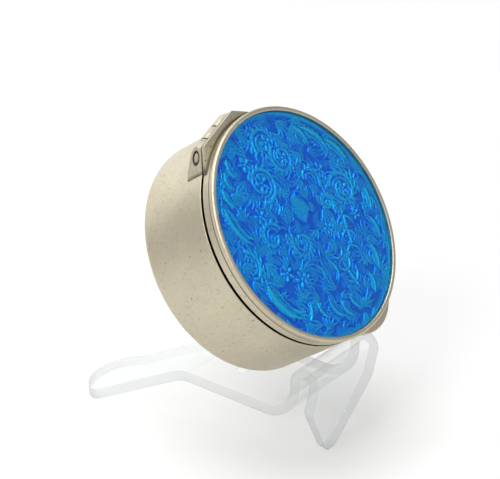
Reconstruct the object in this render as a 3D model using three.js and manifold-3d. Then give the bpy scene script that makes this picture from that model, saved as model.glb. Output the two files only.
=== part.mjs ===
// A round silver pill box with a guilloche enamel lid, tilted back on a clear bent-sheet easel.
// Millimetres and degrees, +Z up. The lid faces -Y and upwards, and the origin is on the table,
// under the middle of the whole object.
import * as THREE from "three";
import { mergeVertices } from "three/addons/utils/BufferGeometryUtils.js";
import Module from "manifold-3d";

const wasm = await Module();
wasm.setup();

// Fits
const seatGap = 0.3; // between pieces that rest on or are soldered to each other
const seamGap = 0.42; // the dark line between lid and body
const skirtClearance = 0.4; // between the lid's skirt and the body's collar
const knuckleGap = 0.2; // between neighbouring knuckles
const pinClearance = 0.09; // between the pin and its bore

// Body
const bodyRadius = 18.95;
const bodyHeight = 13.95;
const bodyWall = 0.85;
const bodyFloor = 0.8;
const bottomRound = 1.2;
const floorFillet = 0.6;
const collarWall = 0.7;
const collarRise = 0.9;
const collarDepth = 3.4;
const rimOverhang = 0.1; // the rim bead beyond the body's wall
const skirtInset = 0.1; // the lid's side wall inside the body's wall

// Lid
const skirtWall = 0.5;
const lidHeight = 2.5;
const beadWidth = 0.85;
const beadHeight = 1.05;
const grooveDepth = 0.15;
const grooveHeight = 0.12;
const groundThickness = 0.35;
const groundBelowRim = 1.2;
const reliefHeight = 0.2;

// Enamel
const enamelOverRelief = 0.25;
const enamelEdge = 0.6;
const enamelDome = 0.15;

// Hinge, turned from the top of the lid towards the left
const hingeTurn = 19.4;
const hingeAxisOut = 0.15; // beyond the body's wall
const barrelRadius = 1.17;
const barrelLength = 11.6;
const middleKnuckleFrom = -2;
const middleKnuckleTo = 1.2;
const pinRadius = 0.55;
const leafThickness = 0.7;
const bodyLeafBelow = 2.2; // from the hinge's axis down to the bottom of the body's leaf
const leafClearance = 0.28; // between a leaf and the other piece's knuckles
const leafOut = 1; // beyond the body's wall
const leafHalfAngle = 22.3;
const leafStraight = 9.4;

// Thumb piece, opposite the hinge
const thumbHalfAngle = 16;
const thumbOut = 1.4;
const thumbThickness = 0.9;

// Easel
const sheet = 1.6;
const sheetWidth = 17.5;
const easelTurn = 3; // against the way the lid faces
const easelTurnsAt = 40.5; // from the easel's rear end
const footLength = 2.5;
const footStraight = 1.5; // the straight part of the rounded rear end
const riseAngle = 26;
const riseLength = 18.2;
const seatFall = 5;
const seatLength = 14.4;
const softBend = 6;
const troughBend = 5;
const lipBend = 1.75;
const apronTilt = 12;
const apronHalfAngle = 38;
const apronTipFlat = 0.6;
const apronTipRadius = 1.9;
const boxFrontOfFoot = 37.5; // from the easel's rear end to the box's lowest edge
const boxEdgeHeight = 12.3; // above the table
const lidElevation = 34;
const restWidth = 6;
const restFoot = 29; // from the easel's rear end
const restLean = 60;

// Facets
const roundSegments = 64;
const smallSegments = 20;
const arcSteps = 4;
const bendStep = 12;

const boxHeight = bodyHeight + seamGap + lidHeight;
const lidRadius = bodyRadius + rimOverhang;
const skirtRadius = bodyRadius - skirtInset;
const lidBottom = boxHeight - lidHeight;
const groundTop = boxHeight - groundBelowRim;
const enamelRadius = lidRadius - beadWidth;
const collarRadius = skirtRadius - skirtWall - skirtClearance;
const hingeAxisRadius = bodyRadius + hingeAxisOut;
const hingeAxisZ = lidBottom - leafClearance - barrelRadius;
const leafEdge = bodyRadius + leafOut;
const boreRadius = pinRadius + pinClearance;
const footCornerRadius = (sheetWidth - footStraight) / 2;

const silver = new THREE.MeshStandardMaterial({ color: 0xc6c0ad, roughness: 0.38, metalness: 1 });
const darkSilver = new THREE.MeshStandardMaterial({ color: 0x9b937c, roughness: 0.45, metalness: 1 });
const blueEnamel = new THREE.MeshStandardMaterial({
  color: 0x0a7fd6,
  roughness: 0.08,
  metalness: 0,
  transparent: true,
  opacity: 0.6,
});
const clearAcrylic = new THREE.MeshStandardMaterial({
  color: 0xeef6f4,
  roughness: 0.04,
  metalness: 0,
  transparent: true,
  opacity: 0.3,
});

const radians = THREE.MathUtils.degToRad;
const sine = (angle) => Math.sin(radians(angle));
const cosine = (angle) => Math.cos(radians(angle));
const point = (x, y) => new THREE.Vector2(x, y);

// Booleans

function solid(geometry) {
  const bare = geometry.clone();
  bare.deleteAttribute("normal");
  bare.deleteAttribute("uv");
  const merged = mergeVertices(bare);
  const corners = merged.index.array;
  const faces = [];
  for (let i = 0; i < corners.length; i += 3) {
    const [a, b, c] = corners.subarray(i, i + 3);
    if (a !== b && b !== c && c !== a) faces.push(a, b, c);
  }
  return new wasm.Manifold(
    new wasm.Mesh({
      numProp: 3,
      vertProperties: merged.attributes.position.array,
      triVerts: new Uint32Array(faces),
    }),
  );
}

function joined(geometries) {
  return geometries.map(solid).reduce((whole, piece) => whole.add(piece));
}

function geometryOf(result) {
  const mesh = result.getMesh();
  const geometry = new THREE.BufferGeometry();
  geometry.setAttribute("position", new THREE.BufferAttribute(mesh.vertProperties, 3));
  geometry.setIndex(new THREE.BufferAttribute(mesh.triVerts, 1));
  geometry.computeVertexNormals();
  return geometry;
}

function piece(name, geometry, material) {
  const mesh = new THREE.Mesh(geometry, material);
  mesh.name = name;
  return mesh;
}

// Shapes

function arc(centreX, centreY, radius, from, to, steps = arcSteps) {
  const points = [];
  for (let i = 0; i <= steps; i++) {
    const angle = from + ((to - from) * i) / steps;
    points.push(point(centreX + radius * cosine(angle), centreY + radius * sine(angle)));
  }
  return points;
}

// A turned piece about Z, from a profile of radius and height that runs anticlockwise.
function turned(profile, segments = roundSegments) {
  return new THREE.LatheGeometry(profile, segments).rotateX(radians(90));
}

function extruded(shape, depth, curveSegments = arcSteps) {
  return new THREE.ExtrudeGeometry(shape, { depth, bevelEnabled: false, curveSegments });
}

// A rod along X through a point of the YZ plane.
function rodAcross(radius, from, to, y, z, segments = smallSegments) {
  const rod = new THREE.CylinderGeometry(radius, radius, to - from, segments);
  return rod.rotateZ(radians(90)).translate((from + to) / 2, y, z);
}

function block(fromX, toX, fromY, toY, fromZ, toZ) {
  const box = new THREE.BoxGeometry(toX - fromX, toY - fromY, toZ - fromZ);
  return box.translate((fromX + toX) / 2, (fromY + toY) / 2, (fromZ + toZ) / 2);
}

// Body

function bodyGeometry() {
  const inner = bodyRadius - bodyWall;
  const linerBottom = bodyHeight - collarDepth;
  const profile = [
    point(0, 0),
    ...arc(bodyRadius - bottomRound, bottomRound, bottomRound, -90, 0),
    point(bodyRadius, bodyHeight),
    point(collarRadius, bodyHeight),
    point(collarRadius, bodyHeight + collarRise),
    point(collarRadius - collarWall, bodyHeight + collarRise),
    point(collarRadius - collarWall, linerBottom),
    point(inner, linerBottom - collarWall),
    ...arc(inner - floorFillet, bodyFloor + floorFillet, floorFillet, 0, -90),
    point(0, bodyFloor),
  ];
  const notch = barrelRoom(-barrelLength / 2, barrelLength / 2).rotateZ(radians(hingeTurn));
  return geometryOf(solid(turned(profile)).subtract(solid(notch)));
}

// Lid ornament, in shares of the enamel's radius as seen from the front

const ornamentWidth = 0.034;

// Each leaf: foot x, foot y, tip x, tip y, how far its back bulges to the left of that line, width.
const leaves = [
  [-0.79, 0.44, -0.64, 0, -0.07, 0.09],
  [-0.71, 0.57, -0.63, 0.34, -0.05, 0.06],
  [-0.6, 0.68, -0.59, 0.5, -0.04, 0.05],
  [-0.51, 0.77, -0.48, 0.56, -0.05, 0.06],
  [-0.74, -0.3, -0.52, -0.7, -0.07, 0.14],
  [-0.47, -0.74, -0.38, -0.58, -0.03, 0.06],
  [-0.22, -0.8, -0.28, -0.61, 0.04, 0.06],
  [-0.05, -0.84, -0.13, -0.62, 0.05, 0.07],
  [0.07, -0.88, -0.01, -0.69, 0.04, 0.06],
  [0.2, -0.86, 0.12, -0.67, 0.04, 0.06],
  [0.42, -0.8, 0.44, -0.58, -0.05, 0.07],
  [0.6, -0.64, 0.61, -0.36, -0.06, 0.08],
  [0.79, -0.42, 0.75, -0.16, -0.06, 0.08],
  [0.86, -0.16, 0.9, 0.08, -0.03, 0.06],
  [0.5, 0.75, 0.69, 0.45, 0.06, 0.09],
  [0.39, 0.8, 0.49, 0.56, 0.05, 0.07],
  [0.71, 0.58, 0.86, 0.27, 0.05, 0.08],
  [0.05, -0.36, 0.04, -0.58, 0.07, 0.06],
  [-0.1, -0.36, -0.1, -0.5, 0.05, 0.05],
];

// Each scroll: centre x, centre y, outer radius, start angle, turn anticlockwise.
const scrolls = [
  [0, 0.76, 0.15, 200, -330],
  [0.12, 0.58, 0.14, 120, 400],
  [-0.25, 0.46, 0.17, -110, 420],
  [0.65, 0.12, 0.16, 150, -430],
  [-0.84, -0.14, 0.17, 75, -165],
  [-0.12, -0.14, 0.13, 130, 400],
  [0.39, 0.07, 0.08, -60, 430],
  [0.3, 0.32, 0.14, -40, 200],
  [-0.42, 0.02, 0.13, 20, 330],
];

// Each flower: centre x, centre y, radius.
const flowers = [
  [0.02, 0.75, 0.07],
  [0.12, 0.58, 0.065],
  [-0.25, 0.46, 0.08],
  [0.65, 0.12, 0.07],
  [0.65, -0.12, 0.06],
  [-0.45, 0.22, 0.07],
  [-0.46, -0.3, 0.075],
  [-0.33, -0.4, 0.075],
  [0.25, -0.13, 0.055],
  [0.48, 0.35, 0.07],
  [-0.34, 0.66, 0.07],
];

// Each frond: foot x, foot y, tip x, tip y, pairs of leaflets.
const fronds = [
  [0.29, -0.7, 0.21, -0.34, 3],
  [0.51, 0, 0.41, -0.4, 3],
];

const cartouche = { x: 0.04, y: 0.13, across: 0.125, tall: 0.14 };

function leafShape([footX, footY, tipX, tipY, bulge, width]) {
  const foot = point(footX, footY);
  const tip = point(tipX, tipY);
  const along = tip.clone().sub(foot).normalize();
  const left = point(-along.y, along.x);
  const middle = foot.clone().add(tip).multiplyScalar(0.5);
  const back = middle.clone().addScaledVector(left, 2 * bulge + width);
  const front = middle.clone().addScaledVector(left, 2 * bulge - width);
  const shape = new THREE.Shape();
  shape.moveTo(foot.x, foot.y);
  shape.quadraticCurveTo(front.x, front.y, tip.x, tip.y);
  shape.quadraticCurveTo(back.x, back.y, foot.x, foot.y);
  return shape;
}

function scrollShape([x, y, radius, start, turn]) {
  const steps = Math.round(Math.abs(turn) / 24);
  const eyeShare = 0.42;
  const outer = [];
  const inner = [];
  for (let i = 0; i <= steps; i++) {
    const share = i / steps;
    const angle = start + turn * share;
    const reach = radius * (1 - (1 - eyeShare) * share);
    const half = (ornamentWidth / 2) * (1 - 0.5 * share);
    outer.push(point(x + (reach + half) * cosine(angle), y + (reach + half) * sine(angle)));
    inner.push(point(x + (reach - half) * cosine(angle), y + (reach - half) * sine(angle)));
  }
  return new THREE.Shape([...outer, ...inner.reverse()]);
}

function flowerShape([x, y, radius]) {
  const petals = 5;
  const steps = petals * 4;
  const petalDepth = 0.26;
  const points = [];
  for (let i = 0; i < steps; i++) {
    const angle = (360 * i) / steps;
    const reach = radius * (1 - petalDepth + petalDepth * cosine(petals * angle));
    points.push(point(x + reach * cosine(angle), y + reach * sine(angle)));
  }
  return new THREE.Shape(points);
}

function frondShapes([footX, footY, tipX, tipY, pairs]) {
  const foot = point(footX, footY);
  const tip = point(tipX, tipY);
  const along = tip.clone().sub(foot);
  const leafletShare = 0.34;
  const shapes = [leafShape([footX, footY, tipX, tipY, 0, ornamentWidth])];
  for (let i = 0; i < pairs; i++) {
    const root = foot.clone().addScaledVector(along, (i + 0.6) / pairs);
    for (const side of [-1, 1]) {
      const reach = along.clone().rotateAround(point(0, 0), radians(48 * side));
      const end = root.clone().addScaledVector(reach, leafletShare * (1 - 0.12 * i));
      shapes.push(leafShape([root.x, root.y, end.x, end.y, 0.02 * side, ornamentWidth]));
    }
  }
  return shapes;
}

function cartoucheShape() {
  const shape = new THREE.Shape();
  shape.absellipse(cartouche.x, cartouche.y, cartouche.across, cartouche.tall, 0, 2 * Math.PI);
  return shape;
}

function raised(shape, curveSegments) {
  const sunk = groundThickness / 2;
  const geometry = extruded(shape, sunk + reliefHeight, curveSegments);
  return geometry.scale(enamelRadius, enamelRadius, 1).translate(0, 0, groundTop - sunk);
}

function ornament() {
  const shapes = [
    ...leaves.map(leafShape),
    ...scrolls.map(scrollShape),
    ...flowers.map(flowerShape),
    ...fronds.flatMap(frondShapes),
  ];
  return joined([...shapes.map((shape) => raised(shape)), raised(cartoucheShape(), 2 * arcSteps)]);
}

// Lid

function lidShellGeometry() {
  const skirtInner = skirtRadius - skirtWall;
  const under = groundTop - groundThickness;
  const beadBottom = boxHeight - beadHeight;
  const beadHalf = beadWidth / 2;
  const beadTop = boxHeight - beadHalf;
  const profile = [
    point(0, under),
    point(skirtInner, under),
    point(skirtInner, lidBottom),
    point(skirtRadius, lidBottom),
    point(skirtRadius, beadBottom - grooveHeight),
    point(skirtRadius - grooveDepth, beadBottom - grooveHeight / 2),
    point(lidRadius - grooveDepth, beadBottom),
    ...arc(lidRadius - beadHalf, beadTop, beadHalf, 0, 180, 2 * arcSteps),
    point(enamelRadius, groundTop),
    point(0, groundTop),
  ];
  return geometryOf(solid(turned(profile)).add(ornament()));
}

function enamelGeometry() {
  const under = groundTop + reliefHeight + enamelOverRelief;
  const radius = enamelRadius - seatGap;
  const domeRadius = (radius * radius + enamelDome * enamelDome) / (2 * enamelDome);
  const edgeAngle = (Math.asin(radius / domeRadius) * 180) / Math.PI;
  const domeCentre = under + enamelEdge + enamelDome - domeRadius;
  const profile = [
    point(0, under),
    point(radius, under),
    ...arc(0, domeCentre, domeRadius, 90 - edgeAngle, 90),
  ];
  return turned(profile);
}

function thumbGeometry() {
  const inner = skirtRadius + seatGap;
  const halfChord = inner * sine(thumbHalfAngle);
  const chordOut = inner * cosine(thumbHalfAngle);
  const rise = lidRadius + thumbOut - chordOut;
  const crescentRadius = (halfChord * halfChord + rise * rise) / (2 * rise);
  const centre = chordOut + rise - crescentRadius;
  const swing = Math.asin(halfChord / crescentRadius);
  const innerSwing = radians(thumbHalfAngle);
  const up = Math.PI / 2;
  const shape = new THREE.Shape();
  shape.absarc(0, centre, crescentRadius, up - swing, up + swing, false);
  shape.absarc(0, 0, inner, up + innerSwing, up - innerSwing, true);
  const low = boxHeight - beadHeight - grooveHeight - thumbThickness;
  return extruded(shape, thumbThickness, 3 * arcSteps).translate(0, 0, low).rotateZ(Math.PI);
}

// Hinge, made at the top of the lid and turned to its place with the box

// The room that a stretch of the barrel turns in.
function barrelRoom(from, to) {
  const radius = barrelRadius + leafClearance;
  return rodAcross(radius, from - seatGap, to + seatGap, hingeAxisRadius, hingeAxisZ);
}

// A shelf round the wall with a straight outer edge and tapered ends.
function leaf(wallRadius, low, thickness) {
  const inner = wallRadius + seatGap;
  const from = radians(90 - leafHalfAngle);
  const to = radians(90 + leafHalfAngle);
  const shape = new THREE.Shape();
  shape.moveTo(leafStraight / 2, leafEdge);
  shape.lineTo(-leafStraight / 2, leafEdge);
  shape.lineTo(inner * Math.cos(to), inner * Math.sin(to));
  shape.absarc(0, 0, inner, to, from, true);
  return extruded(shape, thickness, 2 * arcSteps).translate(0, 0, low);
}

// All that lies between the tapered ends of the leaves, less a margin.
function betweenTapers(margin) {
  const tip = bodyRadius + seatGap;
  const tipAcross = tip * sine(leafHalfAngle);
  const spread = (tipAcross - leafStraight / 2) / (leafEdge - tip * cosine(leafHalfAngle));
  const halfAt = (y) => leafStraight / 2 + (leafEdge - y) * spread - margin;
  const past = hingeAxisRadius + 2 * barrelRadius;
  const shape = new THREE.Shape([
    point(halfAt(past), past),
    point(-halfAt(past), past),
    point(-halfAt(0), 0),
    point(halfAt(0), 0),
  ]);
  return solid(extruded(shape, 2 * boxHeight).translate(0, 0, -boxHeight / 2));
}

// The body's leaf is sloped off below, towards the wall.
function aboveSlope(low) {
  const past = hingeAxisRadius + 2 * barrelRadius;
  const wall = bodyRadius + seatGap;
  const profile = [
    point(0, low),
    point(wall, low),
    point(past, low + past - wall),
    point(past, 2 * boxHeight),
    point(0, 2 * boxHeight),
  ];
  return solid(turned(profile));
}

function barrel(from, to) {
  return solid(rodAcross(barrelRadius, from, to, hingeAxisRadius, hingeAxisZ));
}

function bored(whole) {
  const past = barrelLength;
  const bore = rodAcross(boreRadius, -past, past, hingeAxisRadius, hingeAxisZ);
  return geometryOf(whole.subtract(solid(bore)));
}

function bodyKnucklesGeometry() {
  const half = barrelLength / 2;
  const low = hingeAxisZ - bodyLeafBelow;
  const high = hingeAxisZ + barrelRadius;
  const from = middleKnuckleFrom - seatGap;
  const to = middleKnuckleTo + seatGap;
  const room = joined([
    barrelRoom(middleKnuckleFrom, middleKnuckleTo),
    block(from, to, hingeAxisRadius, 2 * leafEdge, hingeAxisZ, 2 * boxHeight),
  ]);
  const whole = solid(leaf(bodyRadius, low, high - low))
    .subtract(room)
    .add(barrel(-half, middleKnuckleFrom - knuckleGap))
    .add(barrel(middleKnuckleTo + knuckleGap, half))
    .intersect(betweenTapers(0))
    .intersect(aboveSlope(low));
  return bored(whole);
}

function lidKnuckleGeometry() {
  const webHigh = lidBottom + leafThickness / 2;
  const wall = bodyRadius + seatGap;
  const web = block(middleKnuckleFrom, middleKnuckleTo, wall, leafEdge, hingeAxisZ, webHigh);
  const whole = joined([leaf(skirtRadius, lidBottom, leafThickness), web]);
  return bored(whole.add(barrel(middleKnuckleFrom, middleKnuckleTo)));
}

// The pin's ends are filed flush with the leaves' tapered ends.
function pinGeometry() {
  const past = barrelLength;
  const rod = rodAcross(pinRadius, -past, past, hingeAxisRadius, hingeAxisZ);
  return geometryOf(solid(rod).intersect(betweenTapers(pinClearance)));
}

// Easel: its side view runs from the rear end forwards, with the table at height 0

// Follows a bent sheet: each step goes straight, then turns by an angle about a bend radius.
function bentSheet(startX, startY, startHeading, steps) {
  let x = startX;
  let y = startY;
  let heading = startHeading;
  const left = [];
  const right = [];
  const mark = () => {
    const outX = -sine(heading) * (sheet / 2);
    const outY = cosine(heading) * (sheet / 2);
    left.push(point(x + outX, y + outY));
    right.push(point(x - outX, y - outY));
  };
  mark();
  for (const { straight, turn = 0, radius = 0 } of steps) {
    x += straight * cosine(heading);
    y += straight * sine(heading);
    mark();
    const side = Math.sign(turn);
    const centreX = x - side * radius * sine(heading);
    const centreY = y + side * radius * cosine(heading);
    const stops = Math.ceil(Math.abs(turn) / bendStep);
    const first = heading;
    for (let i = 1; i <= stops; i++) {
      heading = first + (turn * i) / stops;
      x = centreX + side * radius * sine(heading);
      y = centreY - side * radius * cosine(heading);
      mark();
    }
  }
  return { outline: new THREE.Shape([...right, ...left.reverse()]), end: point(x, y) };
}

// Stands a side view up across the easel's width.
function acrossEasel(shape, width) {
  const sideways = new THREE.Matrix4().makeBasis(
    new THREE.Vector3(0, -1, 0),
    new THREE.Vector3(0, 0, 1),
    new THREE.Vector3(-1, 0, 0),
  );
  return extruded(shape, width).translate(0, 0, -width / 2).applyMatrix4(sideways);
}

// The lip's fold just clears the box's side.
const toTrough = [
  { straight: footLength, turn: riseAngle, radius: softBend },
  { straight: riseLength, turn: -riseAngle - seatFall, radius: softBend },
  { straight: seatLength, turn: 90 + seatFall, radius: troughBend },
];
const seatStart = bentSheet(0, sheet / 2, 0, toTrough.slice(0, 2)).end;
const wallStart = bentSheet(0, sheet / 2, 0, toTrough).end;
const lipForward = wallStart.x + lipBend;
const boxSideAtLip = boxEdgeHeight + (lipForward - boxFrontOfFoot) * Math.tan(radians(lidElevation));
const lipHeight = boxSideAtLip - (lipBend + sheet / 2 + seatGap) / cosine(lidElevation);

// The whole sheet from its rear end to below the front tip.
function sheetGeometry() {
  const apronHeight = lipHeight - lipBend * sine(apronTilt);
  const steps = [
    ...toTrough,
    { straight: lipHeight - wallStart.y, turn: -180 - apronTilt, radius: lipBend },
    { straight: apronHeight / cosine(apronTilt) + sheet },
  ];
  return acrossEasel(bentSheet(0, sheet / 2, 0, steps).outline, sheetWidth);
}

// The sheet's rear end is rounded in plan.
function planGeometry() {
  const half = sheetWidth / 2;
  const front = lipForward + 2 * lipBend + sheet;
  const corner = half - footCornerRadius;
  const shape = new THREE.Shape();
  shape.moveTo(-half, -front);
  shape.lineTo(half, -front);
  shape.lineTo(half, -footCornerRadius);
  shape.absarc(corner, -footCornerRadius, footCornerRadius, 0, Math.PI / 2, false);
  shape.absarc(-corner, -footCornerRadius, footCornerRadius, Math.PI / 2, Math.PI, false);
  return extruded(shape, lipHeight + lipBend + 2 * sheet, 2 * arcSteps).translate(0, 0, -sheet);
}

// The front apron narrows to a rounded tip that stands on the table.
function besideTipGeometry(side) {
  const past = sheetWidth;
  const back = wallStart.x - sheet / 2;
  const bend = arc(apronTipFlat / 2, apronTipRadius, apronTipRadius, -90, -apronHalfAngle);
  const last = bend.at(-1);
  const rise = last.y + (past - last.x) / Math.tan(radians(apronHalfAngle));
  const outline = [
    ...bend.map((corner) => point(side * corner.x, corner.y)),
    point(side * past, rise),
    point(side * past, -2 * sheet),
    point((side * apronTipFlat) / 2, -2 * sheet),
  ];
  const depth = lipBend + 2 * sheet;
  return extruded(new THREE.Shape(outline), depth).rotateX(radians(90)).translate(0, -back, 0);
}

// A post on the seat carries the box's underside from behind.
function restGeometry() {
  const seatMiddleAt = (forward) => seatStart.y - (forward - seatStart.x) * Math.tan(radians(seatFall));
  const slope = 1 / Math.tan(radians(lidElevation));
  const clear = seatGap / sine(lidElevation);
  const undersideAt = (forward) => boxEdgeHeight - clear + (boxFrontOfFoot - forward) * slope;
  const top = (forward) => {
    const low = seatMiddleAt(forward);
    const run = (undersideAt(forward) - low) / (Math.tan(radians(restLean)) + slope);
    return point(forward + run, low + run * Math.tan(radians(restLean)));
  };
  const front = restFoot + sheet / sine(restLean);
  const rear = restFoot;
  const outline = [
    point(rear, seatMiddleAt(rear)),
    point(front, seatMiddleAt(front)),
    top(front),
    top(rear),
  ];
  return acrossEasel(new THREE.Shape(outline), restWidth);
}

function standGeometry() {
  const table = block(-sheetWidth, sheetWidth, -2 * lipForward, lipForward, -4 * sheet, 0);
  const whole = solid(sheetGeometry())
    .intersect(solid(planGeometry()))
    .subtract(solid(besideTipGeometry(-1)))
    .subtract(solid(besideTipGeometry(1)))
    .subtract(solid(table))
    .add(solid(restGeometry()))
    .translate([0, easelTurnsAt, 0])
    .rotate([0, 0, easelTurn])
    .translate([0, -easelTurnsAt, 0]);
  return geometryOf(whole);
}

// Assembly

function hingeSet(...pieces) {
  const set = new THREE.Group();
  set.rotation.z = radians(hingeTurn);
  set.add(...pieces);
  return set;
}

function box() {
  const group = new THREE.Group();
  group.add(
    piece("box_body", bodyGeometry(), silver),
    piece("lid_shell", lidShellGeometry(), silver),
    piece("enamel", enamelGeometry(), blueEnamel),
    hingeSet(
      piece("body_hinge_knuckles", bodyKnucklesGeometry(), darkSilver),
      piece("lid_hinge_knuckle", lidKnuckleGeometry(), darkSilver),
      piece("hinge_pin", pinGeometry(), darkSilver),
      piece("thumb_piece", thumbGeometry(), silver),
    ),
  );
  // The lowest point of the tilted bottom sits just above the seat.
  group.rotation.x = radians(90 - lidElevation);
  group.position.y = -boxFrontOfFoot + bodyRadius * sine(lidElevation);
  group.position.z = boxEdgeHeight + bodyRadius * cosine(lidElevation);
  return group;
}

function pillBoxOnEasel() {
  const whole = new THREE.Group();
  whole.add(box(), piece("stand", standGeometry(), clearAcrylic));
  const extent = new THREE.Box3().setFromObject(whole, true);
  const middle = extent.getCenter(new THREE.Vector3());
  whole.position.set(-middle.x, -middle.y, -extent.min.z);
  const part = new THREE.Group();
  part.add(whole);
  return part;
}

export default pillBoxOnEasel();
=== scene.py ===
import math

import bpy
import numpy as np
from mathutils import Matrix, Vector


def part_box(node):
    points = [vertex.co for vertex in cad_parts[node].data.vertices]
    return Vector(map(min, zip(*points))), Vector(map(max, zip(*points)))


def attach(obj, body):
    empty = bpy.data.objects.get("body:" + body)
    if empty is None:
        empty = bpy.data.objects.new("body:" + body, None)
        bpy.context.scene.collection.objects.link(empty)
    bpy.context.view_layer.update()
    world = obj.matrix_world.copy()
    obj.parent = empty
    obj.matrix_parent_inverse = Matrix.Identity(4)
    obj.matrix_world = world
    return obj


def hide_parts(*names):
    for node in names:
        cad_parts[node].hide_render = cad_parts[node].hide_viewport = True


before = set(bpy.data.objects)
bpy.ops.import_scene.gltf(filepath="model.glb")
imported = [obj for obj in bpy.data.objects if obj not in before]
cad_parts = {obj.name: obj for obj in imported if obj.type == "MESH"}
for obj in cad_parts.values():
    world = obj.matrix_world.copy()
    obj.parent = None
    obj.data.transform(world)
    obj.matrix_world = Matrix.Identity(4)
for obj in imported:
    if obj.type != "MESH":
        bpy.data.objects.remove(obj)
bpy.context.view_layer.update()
bpy.ops.object.select_all(action="DESELECT")

MM = 0.001

# Sizes in millimetres, the same as in the solids
SEAT_GAP = 0.3
SEAM_GAP = 0.42
SKIRT_CLEARANCE = 0.4
KNUCKLE_GAP = 0.2
PIN_CLEARANCE = 0.09
BODY_RADIUS = 18.95
BODY_HEIGHT = 13.95
BODY_WALL = 0.85
BODY_FLOOR = 0.8
BOTTOM_ROUND = 1.2
FLOOR_FILLET = 0.6
COLLAR_WALL = 0.7
COLLAR_RISE = 0.9
COLLAR_DEPTH = 3.4
RIM_OVERHANG = 0.1
SKIRT_INSET = 0.1
SKIRT_WALL = 0.5
LID_HEIGHT = 2.5
BEAD_WIDTH = 0.85
BEAD_HEIGHT = 1.05
GROOVE_DEPTH = 0.15
GROOVE_HEIGHT = 0.12
GROUND_THICKNESS = 0.35
GROUND_BELOW_RIM = 1.2
HINGE_TURN = math.radians(19.4)
HINGE_AXIS_OUT = 0.15
BARREL_RADIUS = 1.17
BARREL_LENGTH = 11.6
MIDDLE_KNUCKLE = (-2, 1.2)
PIN_RADIUS = 0.55
LEAF_THICKNESS = 0.7
BODY_LEAF_BELOW = 2.2
LEAF_CLEARANCE = 0.28
LEAF_OUT = 1
LEAF_HALF_ANGLE = math.radians(22.3)
LEAF_STRAIGHT = 9.4
THUMB_HALF_ANGLE = math.radians(16)
THUMB_OUT = 1.4
THUMB_THICKNESS = 0.9
SHEET = 1.6
SHEET_WIDTH = 17.5
EASEL_TURN = math.radians(3)
EASEL_TURNS_AT = 40.5
FOOT_LENGTH = 2.5
FOOT_STRAIGHT = 1.5
RISE_ANGLE = math.radians(26)
RISE_LENGTH = 18.2
SEAT_FALL = math.radians(5)
SEAT_LENGTH = 14.4
SOFT_BEND = 6
TROUGH_BEND = 5
LIP_BEND = 1.75
APRON_TILT = math.radians(12)
APRON_HALF_ANGLE = math.radians(38)
APRON_TIP_FLAT = 0.6
APRON_TIP_RADIUS = 1.9
BOX_FRONT_OF_FOOT = 37.5
BOX_EDGE_HEIGHT = 12.3
LID_ELEVATION = math.radians(34)
REST_WIDTH = 6
REST_FOOT = 29
REST_LEAN = math.radians(60)

BOX_HEIGHT = BODY_HEIGHT + SEAM_GAP + LID_HEIGHT
LID_RADIUS = BODY_RADIUS + RIM_OVERHANG
SKIRT_RADIUS = BODY_RADIUS - SKIRT_INSET
LID_BOTTOM = BOX_HEIGHT - LID_HEIGHT
GROUND_TOP = BOX_HEIGHT - GROUND_BELOW_RIM
ENAMEL_RADIUS = LID_RADIUS - BEAD_WIDTH
COLLAR_RADIUS = SKIRT_RADIUS - SKIRT_WALL - SKIRT_CLEARANCE
HINGE_AXIS_RADIUS = BODY_RADIUS + HINGE_AXIS_OUT
HINGE_AXIS_HEIGHT = LID_BOTTOM - LEAF_CLEARANCE - BARREL_RADIUS
LEAF_EDGE = BODY_RADIUS + LEAF_OUT
FOOT_CORNER_RADIUS = (SHEET_WIDTH - FOOT_STRAIGHT) / 2

# How finely the pieces are drawn, and the small sizes that only the looks need, in millimetres
ROUND_STEPS = 192
BARREL_STEPS = 64
OUTLINE_STEPS = 24
CORNER_STEPS = 3
MERGE_DISTANCE = 0.0005
HAIR = 0.01
FINE_EDGE = 0.07
PIN_EDGE = 0.06
THUMB_EDGE = 0.2
EASEL_EDGE = 0.34
JOIN_GAP = 0.02
TAPER_STEP = 0.02
THUMB_END_SHARE = 0.985
BEAD_START = -18
ENAMEL_TOP_BELOW = 0.04
ENAMEL_EDGE_BELOW = 0.16
ENAMEL_UNDER_BEAD = 0.13
ENAMEL_FOOT_IN_GROUND = 0.16
BEND_SPACING = 0.35
STRAIGHT_SPACING = 1.5
END_ROW_SPACING = 0.25
FIRST_ROW = 0.02

# The box leans back, so it is made upright and then laid in place
box_turn = Matrix.Rotation(math.radians(90) - LID_ELEVATION, 4, "X")


def box_origin():
    """The middle of the underside of the tilted box, before the turn."""
    points = [box_turn.inverted() @ v.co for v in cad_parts["box_body"].data.vertices]
    xs, ys, zs = zip(*points)
    return Vector(((min(xs) + max(xs)) / 2, (min(ys) + max(ys)) / 2, min(zs)))


box_place = box_turn @ Matrix.Translation(box_origin())


# Shapes

def pick(piece):
    """Makes a piece the only one that the next operator acts on."""
    bpy.ops.object.select_all(action="DESELECT")
    bpy.context.view_layer.objects.active = piece
    piece.select_set(True)


def edit(piece):
    pick(piece)
    bpy.ops.object.mode_set(mode="EDIT")
    bpy.ops.mesh.select_all(action="SELECT")


def done():
    bpy.ops.object.mode_set(mode="OBJECT")


def named(name):
    """Names the piece that was just added, and its mesh."""
    piece = bpy.context.object
    piece.name = name
    piece.data.name = name
    return piece


def drawn(name, points):
    """A line of edges through points in millimetres."""
    bpy.ops.mesh.primitive_plane_add(size=MM)
    piece = named(name)
    edit(piece)
    bpy.ops.mesh.merge(type="CENTER")
    bpy.ops.transform.translate(value=Vector(points[0]) * MM)
    for before, after in zip(points, points[1:]):
        step = (Vector(after) - Vector(before)) * MM
        bpy.ops.mesh.extrude_region_move(TRANSFORM_OT_translate={"value": step})
    return piece


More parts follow.
